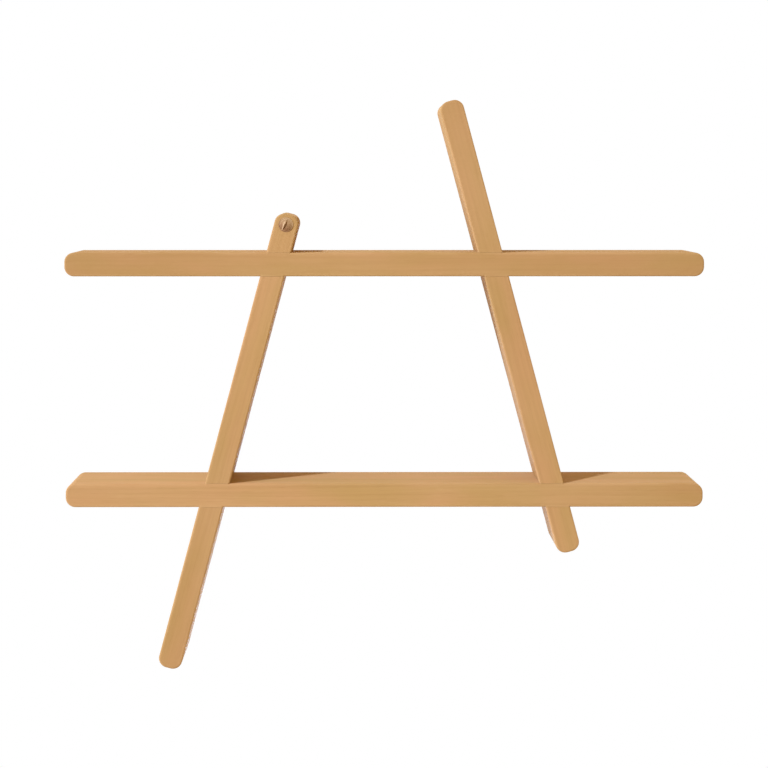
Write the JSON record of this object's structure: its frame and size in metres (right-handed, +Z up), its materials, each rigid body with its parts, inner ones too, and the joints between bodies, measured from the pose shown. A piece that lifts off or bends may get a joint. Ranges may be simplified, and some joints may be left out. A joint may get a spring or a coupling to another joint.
{
  "type": "wall shelf",
  "caption": "Wall shelf: level boards with rounded ends crossed by leaning uprights in slanted cross-laps, hung on keyhole slots in the uprights' back edges.",
  "frame": {"origin": "on the wall plane, at the middle of the upper shelf's back edge", "axes": "+X along the shelves to the right as seen from the front, +Y into the wall, +Z up"},
  "size_m": [0.54, 0.1123, 0.482],
  "materials": {
    "shelf_oak": "solid oak, planed and oiled, satin",
    "upright_oak": "solid oak, planed and oiled, satin",
    "zinc_plated_steel": "zinc plated",
    "aged_brass": "brown patina, worn brighter on its edges"
  },
  "bodies": {
    "root": {"upper_shelf": "shelf_oak", "lower_shelf": "shelf_oak", "left_upright": "upright_oak", "right_upright": "upright_oak", "upper_left_joint_screw": "zinc_plated_steel", "upper_right_joint_screw": "zinc_plated_steel", "lower_left_joint_screw": "zinc_plated_steel", "lower_right_joint_screw": "zinc_plated_steel", "front_screw": "aged_brass", "front_screw_washer": "aged_brass"}
  },
  "joints": []
}
